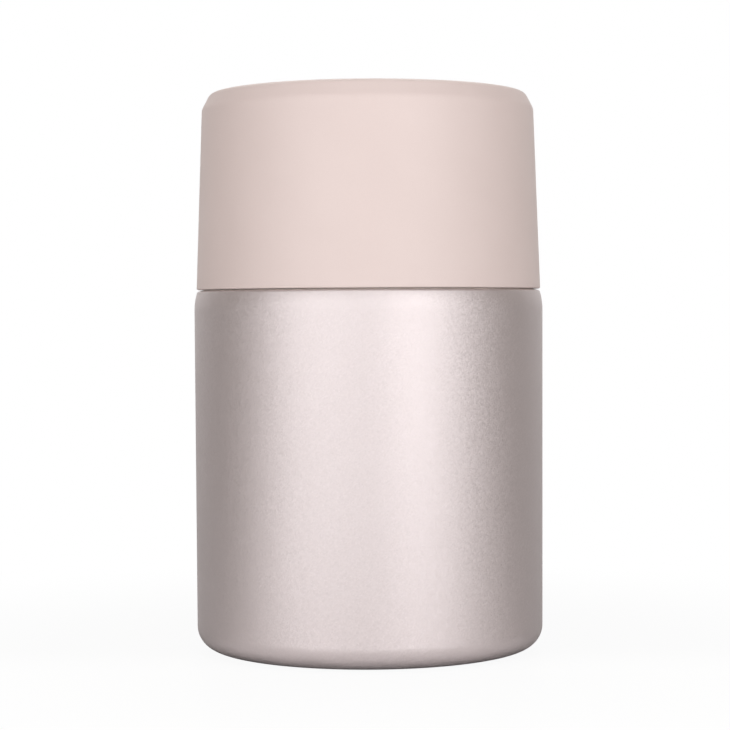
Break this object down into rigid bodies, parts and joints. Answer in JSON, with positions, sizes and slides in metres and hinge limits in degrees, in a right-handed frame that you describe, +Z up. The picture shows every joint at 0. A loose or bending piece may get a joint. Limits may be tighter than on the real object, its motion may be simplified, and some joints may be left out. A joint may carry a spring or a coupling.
{
  "type": "insulated food jar",
  "caption": "Double-walled vacuum food jar with an insulated screw-in stopper, a push-button vent and a tall screw-on cup lid.",
  "frame": {"origin": "centre of the foot ring, on the surface the jar stands on", "axes": "+Z up along the jar's axis, the front faces -Y"},
  "size_m": [0.09, 0.09, 0.143],
  "materials": {
    "body_paint": "satin",
    "bare_steel": "satin",
    "copper_foil": "satin",
    "getter": "matte",
    "sealing_glass": "satin",
    "stopper_plastic": "satin",
    "cup_plastic": "satin",
    "lid_plastic": "matte",
    "foam": "matte",
    "silicone": "matte"
  },
  "bodies": {
    "jar": {"outer_shell": "body_paint", "inner_liner": "bare_steel", "base_plate": "bare_steel", "base_cap": "bare_steel", "reflector_foil": "copper_foil", "reflector_disc": "copper_foil", "getter_bracket": "bare_steel", "getter_pellet": "getter", "vacuum_plug": "sealing_glass"},
    "stopper_gasket": {"stopper_gasket": "silicone"},
    "stopper": {"stopper_cup": "stopper_plastic", "stopper_cover": "stopper_plastic", "stopper_insulation": "foam", "vent_bush": "silicone", "vent_spring": "bare_steel"},
    "vent": {"vent_button": "cup_plastic", "vent_stem": "bare_steel", "vent_seal": "silicone"},
    "lid_seal": {"lid_seal": "silicone"},
    "lid": {"lid_shell": "lid_plastic", "lid_liner": "cup_plastic", "lid_insulation": "foam"}
  },
  "joints": [
    {"name": "stopper_rise", "type": "slide", "parent": "jar", "child": "stopper_gasket", "axis": [0, 0, 1], "range_m": [0, 0.0332]},
    {"name": "stopper_turn", "type": "hinge", "parent": "stopper_gasket", "child": "stopper", "pos_m": [0, 0, 0.1142], "axis": [0, 0, 1], "range_deg": [0, 1980]},
    {"name": "vent_press", "type": "slide", "parent": "stopper", "child": "vent", "axis": [0, 0, -1], "range_m": [0, 0.002], "stiffness_N_per_m": 600, "springref_m": -0.003, "deforming": ["vent_spring"]},
    {"name": "lid_rise", "type": "slide", "parent": "stopper", "child": "lid_seal", "axis": [0, 0, 1], "range_m": [0, 0.0422]},
    {"name": "lid_turn", "type": "hinge", "parent": "lid_seal", "child": "lid", "pos_m": [0, 0, 0.0922], "axis": [0, 0, 1], "range_deg": [0, 2520]}
  ],
  "couplings": [
    {"joint": "stopper_rise", "follows": "stopper_turn", "m_per_rad": 0.00095493},
    {"joint": "lid_rise", "follows": "lid_turn", "m_per_rad": 0.00095493}
  ]
}
